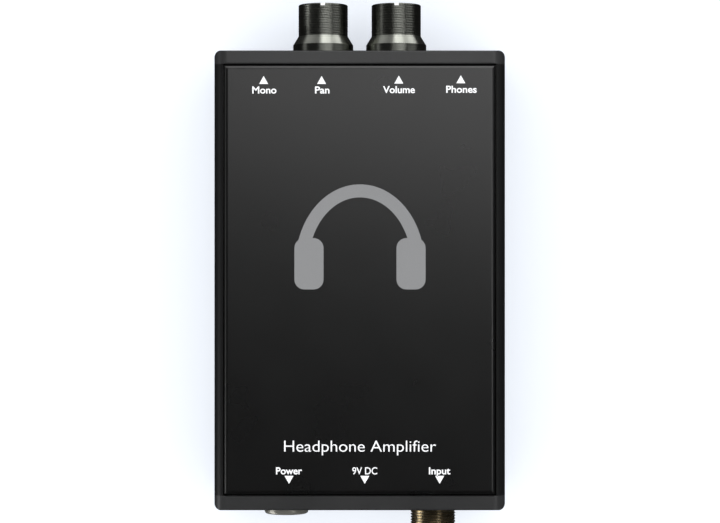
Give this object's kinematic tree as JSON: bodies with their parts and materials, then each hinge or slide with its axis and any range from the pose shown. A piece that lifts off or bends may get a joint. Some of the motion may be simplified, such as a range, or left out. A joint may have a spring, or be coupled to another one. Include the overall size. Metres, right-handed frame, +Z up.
{
  "type": "headphone amplifier",
  "caption": "Pocket-size headphone amplifier in a black metal case, with turned pan and volume knobs, push buttons, phones and power jacks and a threaded round input.",
  "frame": {"origin": "centre of the bounding box at the bottom, on the surface that the rubber feet stand on", "axes": "+X to the right across the case, +Y along it towards the knobs, +Z up out of the printed top plate"},
  "size_m": [0.0762, 0.1408, 0.038],
  "materials": {
    "case_paint": "satin black powder coat",
    "plate_paint": "satin black enamel, printed",
    "cap_paint": "satin black, slightly lighter than the plate",
    "black_screws": "black oxide",
    "foot_rubber": "matt",
    "insert_brass": "plain",
    "black_plastic": "fine texture",
    "steel": "plain",
    "battery_jacket": "printed steel jacket, plain colour",
    "nickel": "warm nickel plate",
    "board_laminate": "green solder mask",
    "chip_epoxy": "moulded epoxy",
    "capacitor_sleeve": "shrink sleeve",
    "resistor_ceramic": "glazed",
    "knob_metal": "fine-turned, black chrome",
    "white_inlay": "white paint",
    "button_metal": "satin nickel plate",
    "connector_metal": "nickel-plated, warm",
    "pot_metal": "plain stamped",
    "spring_steel": "plain wire"
  },
  "bodies": {
    "case": {"case_body": "case_paint", "top_plate": "plate_paint", "control_end_cap": "cap_paint", "connector_end_cap": "cap_paint", "control_cap_screws": "black_screws", "connector_cap_screws": "black_screws", "rubber_feet": "foot_rubber", "clip_inserts": "insert_brass", "door_hinge_pin": "steel", "battery_tray": "black_plastic", "battery": "battery_jacket", "battery_terminals": "nickel", "battery_contact_plate": "black_plastic", "battery_contacts": "nickel", "main_board": "board_laminate", "amp_chips": "chip_epoxy", "capacitors": "capacitor_sleeve", "resistors": "resistor_ceramic", "regulator": "chip_epoxy", "pot_washers": "steel", "pot_nuts": "steel", "mono_switch_case": "black_plastic", "mono_spring": "spring_steel", "power_switch_case": "black_plastic", "power_spring": "spring_steel", "phones_jack_sleeve": "nickel", "phones_jack_housing": "black_plastic", "phones_jack_contacts": "nickel", "dc_jack_housing": "black_plastic", "dc_jack_pin": "nickel", "dc_jack_spring": "nickel", "input_shell": "connector_metal", "input_insulator": "black_plastic", "input_pins": "nickel", "input_nut": "steel", "pan_pot_case": "black_plastic", "pan_pot_bushing": "pot_metal", "volume_pot_case": "black_plastic", "volume_pot_bushing": "pot_metal"},
    "pan_control": {"pan_shaft": "pot_metal", "pan_knob": "knob_metal", "pan_pointer": "white_inlay", "pan_set_screw": "black_screws"},
    "volume_control": {"volume_shaft": "pot_metal", "volume_knob": "knob_metal", "volume_pointer": "white_inlay", "volume_set_screw": "black_screws"},
    "mono_push": {"mono_button": "black_plastic", "mono_plunger": "black_plastic"},
    "power_push": {"power_button": "button_metal", "power_plunger": "black_plastic"},
    "battery_hatch": {"battery_door": "black_plastic"}
  },
  "joints": [
    {"name": "pan_turn", "type": "hinge", "parent": "case", "child": "pan_control", "pos_m": [-0.0098, 0.0567, 0.02], "axis": [0, 1, 0], "range_deg": [-150, 150]},
    {"name": "volume_turn", "type": "hinge", "parent": "case", "child": "volume_control", "pos_m": [0.0098, 0.0567, 0.02], "axis": [0, 1, 0], "range_deg": [-150, 150]},
    {"name": "mono_press", "type": "slide", "parent": "case", "child": "mono_push", "axis": [0, -1, 0], "range_m": [0, 0.0015], "stiffness_N_per_m": 600, "springref_m": -0.001, "deforming": ["mono_spring"]},
    {"name": "power_press", "type": "slide", "parent": "case", "child": "power_push", "axis": [0, 1, 0], "range_m": [0, 0.0015], "stiffness_N_per_m": 900, "springref_m": -0.001, "deforming": ["power_spring"]},
    {"name": "battery_door_swing", "type": "hinge", "parent": "case", "child": "battery_hatch", "pos_m": [0, -0.0296, 0.0032], "axis": [-1, 0, 0], "range_deg": [0, 90]}
  ]
}
